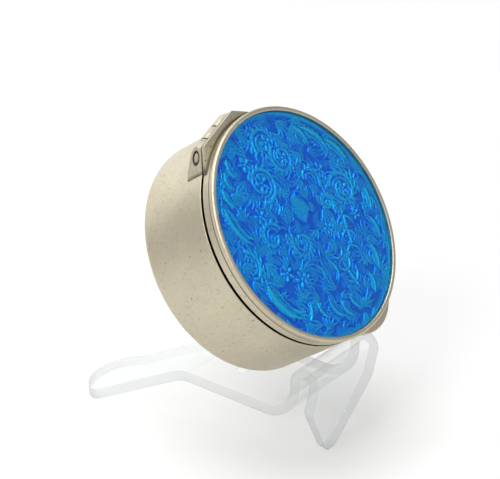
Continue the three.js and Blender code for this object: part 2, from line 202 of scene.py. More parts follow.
def close_up():
    """Merges doubled points and turns the faces outwards."""
    bpy.ops.mesh.select_all(action="SELECT")
    bpy.ops.mesh.remove_doubles(threshold=MERGE_DISTANCE * MM)
    bpy.ops.mesh.normals_make_consistent(inside=False)


def turned(name, profile):
    """A piece turned about the box's axis from points of radius and height."""
    piece = drawn(name, [(radius, 0, height) for radius, height in profile])
    bpy.ops.mesh.select_all(action="SELECT")
    bpy.ops.mesh.spin(steps=ROUND_STEPS, angle=2 * math.pi, center=(0, 0, 0), axis=(0, 0, 1))
    close_up()
    done()
    return piece


def plate(name, outline, low, thickness):
    """A flat plate from an outline of (x, y) points."""
    piece = drawn(name, [(x, y, low) for x, y in outline])
    bpy.ops.mesh.select_all(action="SELECT")
    bpy.ops.mesh.edge_face_add()
    bpy.ops.mesh.extrude_region_move(TRANSFORM_OT_translate={"value": (0, 0, thickness * MM)})
    close_up()
    done()
    return piece


def rod_across(name, radius, start, end, y, z):
    """A round rod along X, from start to end."""
    bpy.ops.mesh.primitive_cylinder_add(
        vertices=BARREL_STEPS,
        radius=radius * MM,
        depth=(end - start) * MM,
        location=((start + end) / 2 * MM, y * MM, z * MM),
        rotation=(0, math.pi / 2, 0),
    )
    piece = named(name)
    bpy.ops.object.transform_apply(location=True, rotation=True, scale=True)
    return piece


def block(name, low, high):
    """A plain box that cuts or fills another piece."""
    middle = [(a + b) / 2 * MM for a, b in zip(low, high)]
    size = [(b - a) * MM for a, b in zip(low, high)]
    bpy.ops.mesh.primitive_cube_add(size=1, location=middle, scale=size)
    piece = named(name)
    bpy.ops.object.transform_apply(location=True, rotation=True, scale=True)
    return piece


def with_modifier(piece, kind, **settings):
    """Adds one modifier and applies it."""
    pick(piece)
    bpy.ops.object.modifier_add(type=kind)
    modifier = piece.modifiers[-1]
    for key, value in settings.items():
        setattr(modifier, key, value)
    bpy.ops.object.modifier_apply(modifier=modifier.name)
    return piece


def combined(piece, other, operation):
    with_modifier(piece, "BOOLEAN", object=other, operation=operation, solver="EXACT")
    bpy.data.objects.remove(other, do_unlink=True)
    return piece


def softened(piece, width=FINE_EDGE, segments=2, angle=40):
    return with_modifier(
        piece,
        "BEVEL",
        width=width * MM,
        segments=segments,
        limit_method="ANGLE",
        angle_limit=math.radians(angle),
        harden_normals=False,
    )


def smooth(piece, angle=35):
    pick(piece)
    bpy.ops.object.shade_smooth_by_angle(angle=math.radians(angle))


def lay_in_place(piece, body, slot, *nodes, turn=0.0):
    """Keeps the upright place of each point for the patterns, then tilts the piece with the box."""
    mesh = piece.data
    mesh.transform(Matrix.Rotation(turn, 4, "Z"))
    upright = mesh.attributes.new("upright", "FLOAT_VECTOR", "POINT")
    places = np.empty(len(mesh.vertices) * 3)
    mesh.vertices.foreach_get("co", places)
    upright.data.foreach_set("vector", places / MM)
    piece.matrix_world = box_place
    pick(piece)
    bpy.ops.object.transform_apply(location=True, rotation=True, scale=True)
    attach(piece, body)
    if nodes:
        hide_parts(*nodes)
    return piece


def arc(x, y, radius, start, end, steps):
    """Points of an arc between two angles in degrees."""
    angles = [math.radians(start + (end - start) * i / steps) for i in range(steps + 1)]
    return [(x + radius * math.cos(a), y + radius * math.sin(a)) for a in angles]


def eased(points, radii):
    """Rounds the corners of an open line; a radius of 0 keeps a corner."""
    line = []
    for i, (corner, radius) in enumerate(zip(points, radii)):
        if radius == 0 or i in (0, len(points) - 1):
            line.append(corner)
            continue
        here = Vector(corner)
        before = (Vector(points[i - 1]) - here).normalized()
        after = (Vector(points[i + 1]) - here).normalized()
        start = here + before * radius
        end = here + after * radius
        for k in range(CORNER_STEPS + 1):
            t = k / CORNER_STEPS
            spot = start * (1 - t) ** 2 + here * 2 * t * (1 - t) + end * t**2
            line.append((spot.x, spot.y))
    return line


# Silver box

def barrel_room(start, end):
    """The free room round a stretch of the hinge's barrel."""
    radius = BARREL_RADIUS + LEAF_CLEARANCE
    start, end = start - SEAT_GAP, end + SEAT_GAP
    return rod_across("room", radius, start, end, HINGE_AXIS_RADIUS, HINGE_AXIS_HEIGHT)


def silver_body():
    inner = BODY_RADIUS - BODY_WALL
    liner_bottom = BODY_HEIGHT - COLLAR_DEPTH
    liner = COLLAR_RADIUS - COLLAR_WALL
    shell = [
        (BODY_RADIUS, BODY_HEIGHT),
        (COLLAR_RADIUS, BODY_HEIGHT),
        (COLLAR_RADIUS, BODY_HEIGHT + COLLAR_RISE),
        (liner, BODY_HEIGHT + COLLAR_RISE),
        (liner, liner_bottom),
        (inner, liner_bottom - COLLAR_WALL),
    ]
    middle = BODY_HEIGHT / 2
    corner_radii = [0, 0.12, 0.08, 0.12, 0.12, 0.15, 0.1, 0]
    profile = [
        (0, 0),
        *arc(BODY_RADIUS - BOTTOM_ROUND, BOTTOM_ROUND, BOTTOM_ROUND, -90, 0, 10),
        *eased([(BODY_RADIUS, middle), *shell, (inner, middle)], corner_radii),
        *arc(inner - FLOOR_FILLET, BODY_FLOOR + FLOOR_FILLET, FLOOR_FILLET, 0, -90, 6),
        (0, BODY_FLOOR),
    ]
    body = turned("silver_body", profile)
    half = BARREL_LENGTH / 2
    room = barrel_room(-half, half)
    room.data.transform(Matrix.Rotation(HINGE_TURN, 4, "Z"))
    combined(body, room, "DIFFERENCE")
    smooth(body)
    return lay_in_place(body, "base", "silver", "box_body")


def silver_lid():
    skirt_inner = SKIRT_RADIUS - SKIRT_WALL
    under = GROUND_TOP - GROUND_THICKNESS
    backing = GROUND_TOP - GROUND_THICKNESS / 2
    bead_bottom = BOX_HEIGHT - BEAD_HEIGHT
    bead_half = BEAD_WIDTH / 2
    bead_top = BOX_HEIGHT - bead_half
    skirt = [
        (0, under),
        (skirt_inner, under),
        (skirt_inner, LID_BOTTOM),
        (SKIRT_RADIUS, LID_BOTTOM),
        (SKIRT_RADIUS, bead_bottom - GROOVE_HEIGHT),
        (SKIRT_RADIUS - GROOVE_DEPTH, bead_bottom - GROOVE_HEIGHT / 2),
        (LID_RADIUS - GROOVE_DEPTH, bead_bottom),
    ]
    corner_radii = [0, 0.15, 0.1, 0.1, 0.06, 0.04, 0]
    profile = [
        *eased(skirt, corner_radii),
        *arc(LID_RADIUS - bead_half - HAIR, bead_top, bead_half, BEAD_START, 180, 20),
        (ENAMEL_RADIUS, backing),
        (0, backing),
    ]
    lid = turned("silver_lid", profile)
    smooth(lid)
    return lay_in_place(lid, "lid", "silver", "lid_shell")


def blue_glass():
    radius = ENAMEL_RADIUS + ENAMEL_UNDER_BEAD
    rise = ENAMEL_EDGE_BELOW - ENAMEL_TOP_BELOW
    low = GROUND_TOP - ENAMEL_FOOT_IN_GROUND
    dome_radius = (radius**2 + rise**2) / (2 * rise)
    centre = BOX_HEIGHT - ENAMEL_TOP_BELOW - dome_radius
    half_angle = math.degrees(math.asin(radius / dome_radius))
    dome = arc(0, centre, dome_radius, 90 - half_angle, 90, OUTLINE_STEPS)
    profile = [(0, low), (radius, low), *dome]
    glass = turned("blue_glass", profile)
    smooth(glass, 20)
    return lay_in_place(glass, "lid", "blue_enamel", "enamel")


# Hinge, made at the top of the lid and turned to its place

def taper_half(y):
    """Half the length of the hinge between its tapered ends, at a distance from the box's axis."""
    tip = BODY_RADIUS + SEAT_GAP
    tip_across = tip * math.sin(LEAF_HALF_ANGLE)
    spread = (tip_across - LEAF_STRAIGHT / 2) / (LEAF_EDGE - tip * math.cos(LEAF_HALF_ANGLE))
    return LEAF_STRAIGHT / 2 + (LEAF_EDGE - y) * spread


def hinge_leaf(name, wall_radius, low, thickness):
    """A leaf that follows the wall inside, with tapered ends and a straight outer edge."""
    inner = wall_radius + JOIN_GAP
    y = LEAF_EDGE
    while math.hypot(taper_half(y), y) > inner:
        y -= TAPER_STEP
    swing = math.degrees(math.atan2(taper_half(y), y))
    outline = [
        (LEAF_STRAIGHT / 2, LEAF_EDGE),
        (-LEAF_STRAIGHT / 2, LEAF_EDGE),
        *arc(0, 0, inner, 90 + swing, 90 - swing, OUTLINE_STEPS),
    ]
    return plate(name, outline, low, thickness)


def barrel(start, end):
    return rod_across("barrel", BARREL_RADIUS, start, end, HINGE_AXIS_RADIUS, HINGE_AXIS_HEIGHT)


def between_tapers(margin=0.0):
    """The room between the hinge's tapered ends, less a margin at each."""
    past = HINGE_AXIS_RADIUS + 2 * BARREL_RADIUS
    far, near = taper_half(past) - margin, taper_half(0) - margin
    outline = [(far, past), (-far, past), (-near, 0), (near, 0)]
    return plate("between_tapers", outline, -BOX_HEIGHT / 2, 2 * BOX_HEIGHT)


def above_slope(low):
    """The room over the sloping underside of the body's leaf."""
    past = HINGE_AXIS_RADIUS + 2 * BARREL_RADIUS
    wall = BODY_RADIUS + SEAT_GAP
    top = 2 * BOX_HEIGHT
    return turned("above_slope", [(0, low), (wall, low), (past, low + past - wall), (past, top), (0, top)])


def bored(piece):
    past = BARREL_LENGTH
    radius = PIN_RADIUS + PIN_CLEARANCE
    bore = rod_across("bore", radius, -past, past, HINGE_AXIS_RADIUS, HINGE_AXIS_HEIGHT)
    return combined(piece, bore, "DIFFERENCE")


def body_hinge():
    half = BARREL_LENGTH / 2
    start, end = MIDDLE_KNUCKLE
    low = HINGE_AXIS_HEIGHT - BODY_LEAF_BELOW
    high = HINGE_AXIS_HEIGHT + BARREL_RADIUS
    whole = hinge_leaf("body_hinge", BODY_RADIUS, low, high - low)
    combined(whole, barrel_room(start, end), "DIFFERENCE")
    corner = (start - SEAT_GAP, HINGE_AXIS_RADIUS, HINGE_AXIS_HEIGHT)
    opposite = (end + SEAT_GAP, 2 * LEAF_EDGE, 2 * BOX_HEIGHT)
    combined(whole, block("open_top", corner, opposite), "DIFFERENCE")
    combined(whole, barrel(-half, start - KNUCKLE_GAP), "UNION")
    combined(whole, barrel(end + KNUCKLE_GAP, half), "UNION")
    combined(whole, between_tapers(), "INTERSECT")
    combined(whole, above_slope(low), "INTERSECT")
    bored(whole)
    softened(whole)
    smooth(whole)
    return lay_in_place(whole, "base", "hinge_silver", "body_hinge_knuckles", turn=HINGE_TURN)


def lid_hinge():
    start, end = MIDDLE_KNUCKLE
    whole = hinge_leaf("lid_hinge", SKIRT_RADIUS, LID_BOTTOM, LEAF_THICKNESS)
    corner = (start, BODY_RADIUS + SEAT_GAP, HINGE_AXIS_HEIGHT)
    web = block("web", corner, (end, LEAF_EDGE, LID_BOTTOM + LEAF_THICKNESS / 2))
    combined(whole, web, "UNION")
    combined(whole, barrel(start, end), "UNION")
    bored(whole)
    softened(whole)
    smooth(whole)
    return lay_in_place(whole, "lid", "hinge_silver", "lid_hinge_knuckle", turn=HINGE_TURN)


def hinge_pin():
    past = BARREL_LENGTH
    pin = rod_across("pin", PIN_RADIUS, -past, past, HINGE_AXIS_RADIUS, HINGE_AXIS_HEIGHT)
    combined(pin, between_tapers(PIN_CLEARANCE), "INTERSECT")
    softened(pin, PIN_EDGE)
    smooth(pin)
    return lay_in_place(pin, "base", "hinge_silver", "hinge_pin", turn=HINGE_TURN)


def thumb_crescent():
    inner = SKIRT_RADIUS + JOIN_GAP
    wall = SKIRT_RADIUS + SEAT_GAP
    half_chord = wall * math.sin(THUMB_HALF_ANGLE)
    chord_out = wall * math.cos(THUMB_HALF_ANGLE)
    rise = LID_RADIUS + THUMB_OUT - chord_out
    radius = (half_chord**2 + rise**2) / (2 * rise)
    centre = chord_out + rise - radius
    swing = math.degrees(math.asin(half_chord / radius))
    inner_swing = math.degrees(THUMB_HALF_ANGLE) * wall / inner * THUMB_END_SHARE
    outline = [
        *arc(0, centre, radius, 90 - swing, 90 + swing, OUTLINE_STEPS),
        *arc(0, 0, inner, 90 + inner_swing, 90 - inner_swing, OUTLINE_STEPS),
    ]
    low = BOX_HEIGHT - BEAD_HEIGHT - GROOVE_HEIGHT - THUMB_THICKNESS
    crescent = plate("thumb_crescent", outline, low, THUMB_THICKNESS)
    softened(crescent, THUMB_EDGE, 4)
    smooth(crescent)
    return lay_in_place(crescent, "lid", "silver", "thumb_piece", turn=HINGE_TURN + math.pi)


# Easel: one bent sheet, drawn in its side view of distance forward and height

def bent_path(steps):
    """Points (distance along, forward, height, heading) along the middle of a bent sheet."""
    x, y, heading, run = 0.0, SHEET / 2, 0.0, 0.0
    path = [(run, x, y, heading)]
    for straight, turn, radius in steps:
        count = max(1, round(straight / STRAIGHT_SPACING))
        for _ in range(count if straight > 0 else 0):
            x += straight / count * math.cos(heading)
            y += straight / count * math.sin(heading)
            run += straight / count
            path.append((run, x, y, heading))
        if turn == 0:
            continue
        side = math.copysign(1, turn)
        centre_x = x - side * radius * math.sin(heading)
        centre_y = y + side * radius * math.cos(heading)
        count = max(4, round(abs(turn) * radius / BEND_SPACING))
        first = heading
        for i in range(1, count + 1):
            heading = first + turn * i / count
            x = centre_x + side * radius * math.sin(heading)
            y = centre_y - side * radius * math.cos(heading)
            run += abs(turn) / count * radius
            path.append((run, x, y, heading))
    return path


def easel_steps():
    """Each straight stretch of the sheet, then the turn and the radius of the bend after it."""
    to_trough = [
        (FOOT_LENGTH, RISE_ANGLE, SOFT_BEND),
        (RISE_LENGTH, -RISE_ANGLE - SEAT_FALL, SOFT_BEND),
        (SEAT_LENGTH, math.pi / 2 + SEAT_FALL, TROUGH_BEND),
    ]
    wall_x, wall_y = bent_path(to_trough)[-1][1:3]
    lip_forward = wall_x + LIP_BEND
    box_side = BOX_EDGE_HEIGHT + (lip_forward - BOX_FRONT_OF_FOOT) * math.tan(LID_ELEVATION)
    lip_height = box_side - (LIP_BEND + SHEET / 2 + SEAT_GAP) / math.cos(LID_ELEVATION)
    apron_height = lip_height - LIP_BEND * math.sin(APRON_TILT)
    tip_lift = SHEET / 2 * math.sin(APRON_TILT)
    return [
        *to_trough,
        (lip_height - wall_y, -math.pi - APRON_TILT, LIP_BEND),
        ((apron_height - tip_lift) / math.cos(APRON_TILT), 0, 0),
    ]


TIP_BEND_RISE = APRON_TIP_RADIUS * (1 - math.sin(APRON_HALF_ANGLE))
TIP_BEND_HALF = APRON_TIP_FLAT / 2 + APRON_TIP_RADIUS * math.cos(APRON_HALF_ANGLE)


def easel_half_width(run, length):
    """The flat sheet's half width: rounded at the rear end, narrowed to a round tip at the front."""
    half = SHEET_WIDTH / 2
    if run < FOOT_CORNER_RADIUS:
        back = FOOT_CORNER_RADIUS - run
        return half - FOOT_CORNER_RADIUS + math.sqrt(max(0.0, FOOT_CORNER_RADIUS**2 - back**2))
    rise = (length - run) * math.cos(APRON_TILT)
    if rise < TIP_BEND_RISE:
        down = APRON_TIP_RADIUS - rise
        return APRON_TIP_FLAT / 2 + math.sqrt(max(0.0, APRON_TIP_RADIUS**2 - down**2))
    return min(half, TIP_BEND_HALF + (rise - TIP_BEND_RISE) * math.tan(APRON_HALF_ANGLE))


def rows_along(path):
    """Extra rows where the outline curves, so that the rounded end stays round."""
    rows = [(FIRST_ROW, *path[0][1:])]
    for before, after in zip(path, path[1:]):
        gap = after[0] - before[0]
        near_end = before[0] < FOOT_CORNER_RADIUS
        count = max(1, round(gap / END_ROW_SPACING)) if near_end else 1
        for i in range(1, count + 1):
            share = i / count
            rows.append(tuple(a + (b - a) * share for a, b in zip(before, after)))
    return rows


def keep_within(mesh, low, high):
    """Scales a mesh by a hair where it reaches past a box."""
    for axis in range(3):
        places = [v.co[axis] for v in mesh.vertices]
        own_low, own_high = min(places), max(places)
        if own_low >= low[axis] and own_high <= high[axis]:
            continue
        target_low, target_high = max(own_low, low[axis]), min(own_high, high[axis])
        share = (target_high - target_low) / (own_high - own_low)
        for vertex in mesh.vertices:
            vertex.co[axis] = target_low + (vertex.co[axis] - own_low) * share


def with_pointed_apron(rows, length):
    """Puts the last stretch's rows where the apron narrows and where its tip curves."""
    shoulder_rise = TIP_BEND_RISE + (SHEET_WIDTH / 2 - TIP_BEND_HALF) / math.tan(APRON_HALF_ANGLE)
    bends = [TIP_BEND_RISE * share for share in (1, 0.72, 0.48, 0.28, 0.13, 0.04, 0)]
    stops = [length - rise / math.cos(APRON_TILT) for rise in (shoulder_rise, *bends)]
    first, last = rows[-2], rows[-1]
    shares = [(stop - first[0]) / (last[0] - first[0]) for stop in stops]
    apron = [tuple(a + (b - a) * share for a, b in zip(first, last)) for share in shares if share > 0]
    return rows[:-1] + apron


def bent_sheet(rows, length):
    """The sheet's middle surface; its attribute "border" is 1 along the edges."""
    bpy.ops.mesh.primitive_grid_add(x_subdivisions=8, y_subdivisions=len(rows) - 1, size=1)
    easel = named("clear_easel")
    mesh = easel.data
    mesh.attributes.new("border", "FLOAT", "POINT")
    marks = mesh.attributes["border"].data
    last_row = len(rows) - 1
    for vertex in mesh.vertices:
        row = round((vertex.co.y + 0.5) * last_row)
        marks[vertex.index].value = float(abs(vertex.co.x) > 0.49 or row in (0, last_row))
        run, forward, height, _ = rows[row]
        across = vertex.co.x * 2 * easel_half_width(run, length)
        vertex.co = (across * MM, -forward * MM, height * MM)
    return easel


def clear_easel():
    path = bent_path(easel_steps())
    length = path[-1][0]
    rows = with_pointed_apron(rows_along(path), length)
    easel = bent_sheet(rows, length)
    mesh = easel.data
    with_modifier(easel, "SOLIDIFY", thickness=SHEET * MM, offset=0, use_even_offset=True)
    softened(easel, EASEL_EDGE, 3, 50)
    combined(easel, rest_post(), "UNION")
    mesh.transform(Matrix.Translation((0, EASEL_TURNS_AT * MM, 0)))
    mesh.transform(Matrix.Rotation(EASEL_TURN, 4, "Z"))
    mesh.transform(Matrix.Translation((0, -EASEL_TURNS_AT * MM, 0)))
    low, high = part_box("stand")
    lift = (low[2] - min(v.co.z for v in mesh.vertices)) / MM
    box_low = box_place @ Vector((0, -BODY_RADIUS * MM, 0))
    rear = box_low.y + BOX_FRONT_OF_FOOT * MM
    mesh.transform(Matrix.Translation((0, rear, lift * MM)))
    keep_within(mesh, low, high)
    smooth(easel, 30)
    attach(easel, "base")
    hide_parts("stand")
    return easel


def rest_post():
    """The small leaning post on the seat that the box leans back on."""
    seat = bent_path(easel_steps()[:2])[-1]
    slope = 1 / math.tan(LID_ELEVATION)
    clear = SEAT_GAP / math.sin(LID_ELEVATION)
    lean = math.tan(REST_LEAN)

    def seat_at(forward):
        return seat[2] - (forward - seat[1]) * math.tan(SEAT_FALL)

    def top(forward):
        low = seat_at(forward)
        under = BOX_EDGE_HEIGHT - clear + (BOX_FRONT_OF_FOOT - forward) * slope
        run = (under - low) / (lean + slope)
        return (forward + run, low + run * lean)

    front = REST_FOOT + SHEET / math.sin(REST_LEAN)
    corners = [(REST_FOOT, seat_at(REST_FOOT)), (front, seat_at(front)), top(front), top(REST_FOOT)]
    post = drawn("rest_post", [(-REST_WIDTH / 2, -forward, height) for forward, height in corners])
    bpy.ops.mesh.select_all(action="SELECT")
    bpy.ops.mesh.edge_face_add()
    bpy.ops.mesh.extrude_region_move(TRANSFORM_OT_translate={"value": (REST_WIDTH * MM, 0, 0)})
    close_up()
    done()
    return post


# Engraved ground, in shares of the enamel's radius as seen from the front

GROUND_CELLS = 350
RELIEF = 0.3
GROOVE = 0.12
GOLDEN_ANGLE = math.radians(137.508)
FURROW_SHARE = 0.85
THINNEST_LINE = 0.004
RIB_SPACING = 0.035
SCROLL_SHRINK = 0.58
FRILL_STEP = 24
FRILL_END = 0.62
CARTOUCHE_HEIGHT = 0.72
RING_CUT = 0.4
RIM_HEIGHT = 0.75
RIM_BLEND = 0.045

# Each leaf: foot, tip, how far its back bulges to the left of that line, width
LEAVES = [
    (-0.79, 0.44, -0.64, 0.0, -0.07, 0.09),
    (-0.71, 0.57, -0.63, 0.34, -0.05, 0.06),
    (-0.6, 0.68, -0.59, 0.5, -0.04, 0.05),
    (-0.51, 0.77, -0.48, 0.56, -0.05, 0.06),
    (-0.74, -0.3, -0.52, -0.7, -0.07, 0.14),
    (-0.47, -0.74, -0.38, -0.58, -0.03, 0.06),
    (-0.22, -0.8, -0.28, -0.61, 0.04, 0.06),
    (-0.05, -0.84, -0.13, -0.62, 0.05, 0.07),
    (0.07, -0.88, -0.01, -0.69, 0.04, 0.06),
    (0.2, -0.86, 0.12, -0.67, 0.04, 0.06),
    (0.42, -0.8, 0.44, -0.58, -0.05, 0.07),
    (0.6, -0.64, 0.61, -0.36, -0.06, 0.08),
    (0.79, -0.42, 0.75, -0.16, -0.06, 0.08),
    (0.86, -0.16, 0.9, 0.08, -0.03, 0.06),
    (0.5, 0.75, 0.69, 0.45, 0.06, 0.09),
    (0.39, 0.8, 0.49, 0.56, 0.05, 0.07),
    (0.71, 0.58, 0.86, 0.27, 0.05, 0.08),
    (0.05, -0.36, 0.04, -0.58, 0.07, 0.06),
    (-0.1, -0.36, -0.1, -0.5, 0.05, 0.05),
]

# Each scroll: centre, outer radius, start angle, turn anticlockwise
SCROLLS = [
    (0.0, 0.76, 0.15, 200, -330),
    (0.12, 0.58, 0.14, 120, 400),
    (-0.25, 0.46, 0.17, -110, 420),
    (0.65, 0.12, 0.16, 150, -430),
    (-0.84, -0.14, 0.17, 75, -165),
    (-0.12, -0.14, 0.13, 130, 400),
    (0.39, 0.07, 0.08, -60, 430),
    (0.3, 0.32, 0.14, -40, 200),
    (-0.42, 0.02, 0.13, 20, 330),
]

# Each flower: centre, radius
FLOWERS = [
    (0.02, 0.75, 0.07),
    (0.12, 0.58, 0.065),
    (-0.25, 0.46, 0.08),
    (0.65, 0.12, 0.07),
    (0.65, -0.12, 0.06),
    (-0.45, 0.22, 0.07),
    (-0.46, -0.3, 0.075),
    (-0.33, -0.4, 0.075),
    (0.25, -0.13, 0.055),
    (0.48, 0.35, 0.07),
    (-0.34, 0.66, 0.07),
]

# Each frond: foot, tip, pairs of leaflets
FRONDS = [
    (0.29, -0.7, 0.21, -0.34, 3),
    (0.51, 0.0, 0.41, -0.4, 3),
]

# The plain oval: centre, half width, half height
CARTOUCHE = (0.04, 0.13, 0.095, 0.115)


def along_curve(foot, tip, bulge, count=22):
    """Points of a bowed line, and its direction at each."""
    foot, tip = np.array(foot, float), np.array(tip, float)
    line = tip - foot
    left = np.array((-line[1], line[0])) / max(1e-6, np.hypot(*line))
    middle = (foot + tip) / 2 + left * 2 * bulge
    t = np.linspace(0, 1, count)[:, None]
    points = foot * (1 - t) ** 2 + middle * 2 * t * (1 - t) + tip * t**2
    ways = 2 * (1 - t) * (middle - foot) + 2 * t * (tip - middle)
    return points, ways / np.linalg.norm(ways, axis=1)[:, None]


class Ground:
    """The heights of the engraved silver, raised stroke by stroke."""

    def __init__(self, places):
        self.places = places
        self.height = np.zeros(len(places))
        self.groove = np.zeros(len(places))

    def stroke(self, points, widths, lift=1.0, edge=0.5):
        """A rounded ridge along points, each with its half width, in a cut furrow."""
        points = np.asarray(points, float)
        widths = np.broadcast_to(np.asarray(widths, float), len(points))
        reach = widths.max() * (1 + edge)
        low, high = points.min(0) - reach, points.max(0) + reach
        near = np.flatnonzero(((self.places > low) & (self.places < high)).all(1))
        if len(near) == 0:
            return
        gap = np.linalg.norm(self.places[near, None, :] - points[None], axis=2) / np.maximum(widths, 1e-4)
        share = gap.min(1)
        ridge = np.clip(1 - share**2, 0, 1) * lift
        moat = np.clip(1 - np.abs(share - 1 - edge / 2) / (edge / 2), 0, 1) * lift
        self.height[near] = np.maximum(self.height[near] * (1 - FURROW_SHARE * moat), ridge)
        self.groove[near] = np.maximum(self.groove[near], moat)

    def petal(self, foot, tip, bulge, width, lift=1.0, full=0.35):
        """A tapered stroke; full is the share of its length where it is widest."""
        points, _ = along_curve(foot, tip, bulge)
        t = np.linspace(0, 1, len(points))
        swelling = np.sin(t / full * math.pi / 2)
        narrowing = np.cos((t - full) / (1 - full) * math.pi / 2)
        shape = np.where(t < full, swelling, narrowing)
        self.stroke(points, np.maximum(THINNEST_LINE, width * (0.2 + 0.8 * shape)), lift)

    def leaf(self, foot_x, foot_y, tip_x, tip_y, bulge, width):
        """A bowed leaf: a strong back, and ribs that run off it towards the tip."""
        foot, tip = (foot_x, foot_y), (tip_x, tip_y)
        points, ways = along_curve(foot, tip, bulge)
        length = math.hypot(tip_x - foot_x, tip_y - foot_y)
        inward = -math.copysign(1, bulge) if bulge else 1
        ribs = max(4, round(length / RIB_SPACING))
        for i in range(ribs):
            at = 0.04 + 0.74 * i / ribs
            index = round(at * (len(points) - 1))
            way = ways[index]
            for turn, share in ((inward, 1.0), (-inward, 0.45)):
                side = np.array((-way[1], way[0])) * turn
                reach = length * (0.42 - 0.2 * at) * share
                end = points[index] + way * reach * 0.84 + side * reach * 0.54
                self.petal(points[index], end, 0.13 * reach * turn, width * 0.2, 0.8, 0.5)
        self.petal(foot, tip, bulge, width * 0.34, 1.0)

    def scroll(self, x, y, radius, start, turn):
        """A scroll of two lines that winds inwards, with a frill outside."""
        count = max(24, round(abs(turn) / 6))
        share = np.linspace(0, 1, count)
        angles = np.radians(start + turn * share)
        reach = radius * (1 - SCROLL_SHRINK * share)
        for inset, lift, width in ((0.0, 0.9, 0.027), (0.045, 0.7, 0.017)):
            away = np.maximum(0.02, reach - inset)
            points = np.column_stack((x + away * np.cos(angles), y + away * np.sin(angles)))
            self.stroke(points, width * (1 - 0.45 * share), lift)
        curl = math.copysign(1, turn)
        for i in range(round(abs(turn) / FRILL_STEP)):
            passed = i * FRILL_STEP / abs(turn)
            if passed > FRILL_END:
                break
            angle = math.radians(start + turn * passed)
            at = radius * (1 - SCROLL_SHRINK * passed)
            foot = (x + at * math.cos(angle), y + at * math.sin(angle))
            out = at + radius * (0.42 - 0.25 * passed)
            away = angle - curl * 0.34
            tip = (x + out * math.cos(away), y + out * math.sin(away))
            self.petal(foot, tip, 0.015 * curl, 0.019, 0.7)

    def flower(self, x, y, radius):
        """Five petals round a small boss."""
        for i in range(5):
            angle = 2 * math.pi * i / 5 + 0.4
            foot = (x + 0.25 * radius * math.cos(angle), y + 0.25 * radius * math.sin(angle))
            tip = (x + radius * math.cos(angle), y + radius * math.sin(angle))
            self.petal(foot, tip, 0.0, radius * 0.3, 0.85, 0.65)
        self.stroke([(x, y)], radius * 0.24, 1.0)

    def frond(self, foot_x, foot_y, tip_x, tip_y, pairs):
        """A stem with pairs of leaflets."""
        foot, tip = np.array((foot_x, foot_y)), np.array((tip_x, tip_y))
        self.petal(foot, tip, 0.01, 0.024)
        along = tip - foot
        for i in range(pairs):
            root = foot + along * (i + 0.6) / pairs
            for side in (-1, 1):
                angle = math.radians(48 * side)
                way = np.array((
                    along[0] * math.cos(angle) - along[1] * math.sin(angle),
                    along[0] * math.sin(angle) + along[1] * math.cos(angle),
                ))
                self.petal(root, root + way * 0.34 * (1 - 0.12 * i), 0.02 * side, 0.02, 1.0)

    def swells(self, count, seed):
        """Low broad swells, so that no part of the ground lies flat."""
        chance = np.random.default_rng(seed)
        for i in range(count):
            away = math.sqrt((i + 0.5) / count)
            angle = i * GOLDEN_ANGLE
            foot = np.array((away * math.cos(angle), away * math.sin(angle)))
            way = angle + math.pi / 2 + chance.normal(0, 0.8)
            tip = foot + 0.16 * np.array((math.cos(way), math.sin(way)))
            self.petal(foot, tip, 0.03, 0.05, chance.uniform(0.2, 0.4))

    def tufts(self, count, seed):
        """Small feathered tufts, evenly strewn, fill the ground between the large forms."""
        chance = np.random.default_rng(seed)
        for i in range(count):
            away = math.sqrt((i + 0.5) / count)
            angle = i * GOLDEN_ANGLE + chance.normal(0, 0.05)
            foot = np.array((away * math.cos(angle), away * math.sin(angle)))
            middle_way = angle + math.pi / 2 * chance.choice((-1, 1)) + chance.normal(0, 0.7)
            length = chance.uniform(0.11, 0.19)
            bend = chance.choice((-1, 1)) * chance.uniform(0.012, 0.03)
            ribs = chance.integers(3, 6)
            lift = chance.uniform(0.45, 0.8)
            for k in range(ribs):
                way = middle_way + 0.4 * (k - (ribs - 1) / 2)
                reach = length * (1 - 0.1 * abs(k - (ribs - 1) / 2))
                tip = foot + reach * np.array((math.cos(way), math.sin(way)))
                self.petal(foot, tip, bend, 0.017, lift)


def engraved_height(places):
    """How far each place of the ground stands up, and how far it is cut."""
    ground = Ground(places)
    ground.swells(150, 3)
    ground.tufts(260, 7)
    for leaf in LEAVES:
        ground.leaf(*leaf)
    for scroll in SCROLLS:
        ground.scroll(*scroll)
    for flower in FLOWERS:
        ground.flower(*flower)
    for frond in FRONDS:
        ground.frond(*frond)
    x, y, across, tall = CARTOUCHE
    oval = np.hypot((places[:, 0] - x) / across, (places[:, 1] - y) / tall)
    plain = np.clip((1.1 - oval) / 0.35, 0, 1)
    ring = RING_CUT * np.clip(1 - np.abs(oval - 1.2) / 0.16, 0, 1)
    height = ground.height * (1 - plain) + CARTOUCHE_HEIGHT * plain
    cut = np.maximum(ground.groove * (ground.height < 0.15), ring)
    height = height * (1 - ring)
    edge = np.clip((1 - np.hypot(*places.T)) / RIM_BLEND, 0, 1)
    return height * edge + RIM_HEIGHT * (1 - edge), cut * edge


def points_of(mesh):
    places = np.empty(len(mesh.vertices) * 3)
    mesh.vertices.foreach_get("co", places)
    return places.reshape(-1, 3) / MM


